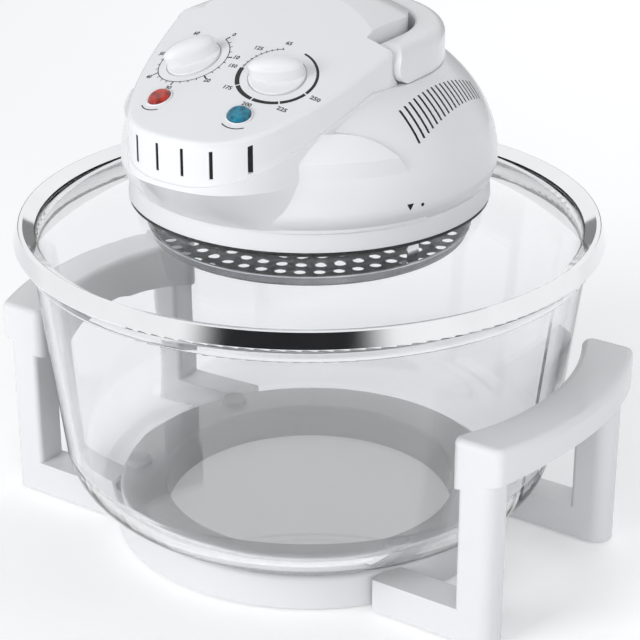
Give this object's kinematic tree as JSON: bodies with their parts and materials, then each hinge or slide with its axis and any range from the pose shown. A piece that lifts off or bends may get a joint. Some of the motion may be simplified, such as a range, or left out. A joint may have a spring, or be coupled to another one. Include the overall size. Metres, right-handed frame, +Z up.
{
  "type": "halogen oven",
  "caption": "Round countertop oven: glass bowl on a legged stand with side handles, domed glass lid, and a heater head with sloping control panel and folding carry handle.",
  "frame": {"origin": "on the surface the oven stands on, on the axis of the bowl", "axes": "+Z up, -Y towards the control panel at the front, the two stand handles lie along X"},
  "size_m": [0.382, 0.342, 0.3311],
  "materials": {
    "white_plastic": "gloss",
    "clear_glass": "clear",
    "polished_steel": "polished",
    "plated_steel": "bright plated",
    "sheet_steel": "plain",
    "screw_steel": "plated",
    "pan_aluminium": "bright",
    "fan_aluminium": "plain",
    "grey_rubber": "matt",
    "clear_silicone": "matt",
    "white_felt": "fibrous",
    "quartz_glass": "clear",
    "tungsten": "dull",
    "ceramic_white": "glazed",
    "lamination_steel": "dull",
    "copper_winding": "enamelled",
    "bearing_bronze": "plain",
    "bell_brass": "polished",
    "grey_plastic": "matt",
    "terminal_plastic": "matt",
    "red_plastic": "clear red",
    "blue_plastic": "clear blue",
    "lamp_glass": "clear"
  },
  "bodies": {
    "stand": {"base_stand": "white_plastic", "handle_bar_left": "white_plastic", "handle_bar_right": "white_plastic", "grip_plates": "white_plastic", "handle_screws": "screw_steel", "rest_pads": "grey_rubber", "rubber_feet": "grey_rubber"},
    "bowl": {"glass_bowl": "clear_glass"},
    "fan": {"motor_shaft": "screw_steel", "motor_rotor": "lamination_steel", "circulation_fan": "fan_aluminium", "cooling_fan": "fan_aluminium", "fan_nuts": "screw_steel"},
    "timer": {"timer_knob": "white_plastic", "timer_shaft": "screw_steel"},
    "thermostat": {"thermostat_knob": "white_plastic", "thermostat_shaft": "screw_steel"},
    "handle": {"carry_handle": "white_plastic", "pivot_pins": "screw_steel"},
    "head": {"lid_glass": "clear_glass", "lid_gasket": "clear_silicone", "lid_band": "polished_steel", "glass_grommet": "clear_silicone", "collar": "plated_steel", "deck_plate": "sheet_steel", "head_ring": "white_plastic", "collar_screws": "screw_steel", "guard": "plated_steel", "guard_brackets": "plated_steel", "reflector": "pan_aluminium", "felt_pad": "white_felt", "heater_tube": "quartz_glass", "heater_filament": "tungsten", "heater_ends": "ceramic_white", "heater_clips": "sheet_steel", "sensor_bulb": "bearing_bronze", "motor_stack": "lamination_steel", "motor_coil": "copper_winding", "motor_standoffs": "sheet_steel", "motor_bridges": "sheet_steel", "shaft_bushes": "bearing_bronze", "lower_housing": "white_plastic", "control_pod": "white_plastic", "pod_screws": "screw_steel", "timer_module": "grey_plastic", "thermostat_module": "grey_plastic", "timer_bell": "bell_brass", "red_lens": "red_plastic", "blue_lens": "blue_plastic", "lamp_bulbs": "lamp_glass", "cord_gland": "grey_rubber", "terminal_block": "terminal_plastic"}
  },
  "joints": [
    {"name": "bowl_lift", "type": "slide", "parent": "stand", "child": "bowl", "axis": [0, 0, 1], "range_m": [0, 0.16]},
    {"name": "lid_lift", "type": "slide", "parent": "bowl", "child": "head", "axis": [0, 0, 1], "range_m": [0, 0.2]},
    {"name": "handle_swing", "type": "hinge", "parent": "head", "child": "handle", "pos_m": [0, -0.014, 0.3014], "axis": [1, 0, 0], "range_deg": [0, 90]},
    {"name": "timer_turn", "type": "hinge", "parent": "head", "child": "timer", "pos_m": [-0.0275, -0.07033, 0.3017], "axis": [-0.125, -0.3877, 0.9133], "range_deg": [-300, 0]},
    {"name": "thermostat_turn", "type": "hinge", "parent": "head", "child": "thermostat", "pos_m": [0.0275, -0.07033, 0.3017], "axis": [0.125, -0.3877, 0.9133], "range_deg": [-290, 0]},
    {"name": "fan_spin", "type": "hinge", "parent": "head", "child": "fan", "pos_m": [0, 0, 0.2], "axis": [0, 0, 1], "continuous": true}
  ]
}
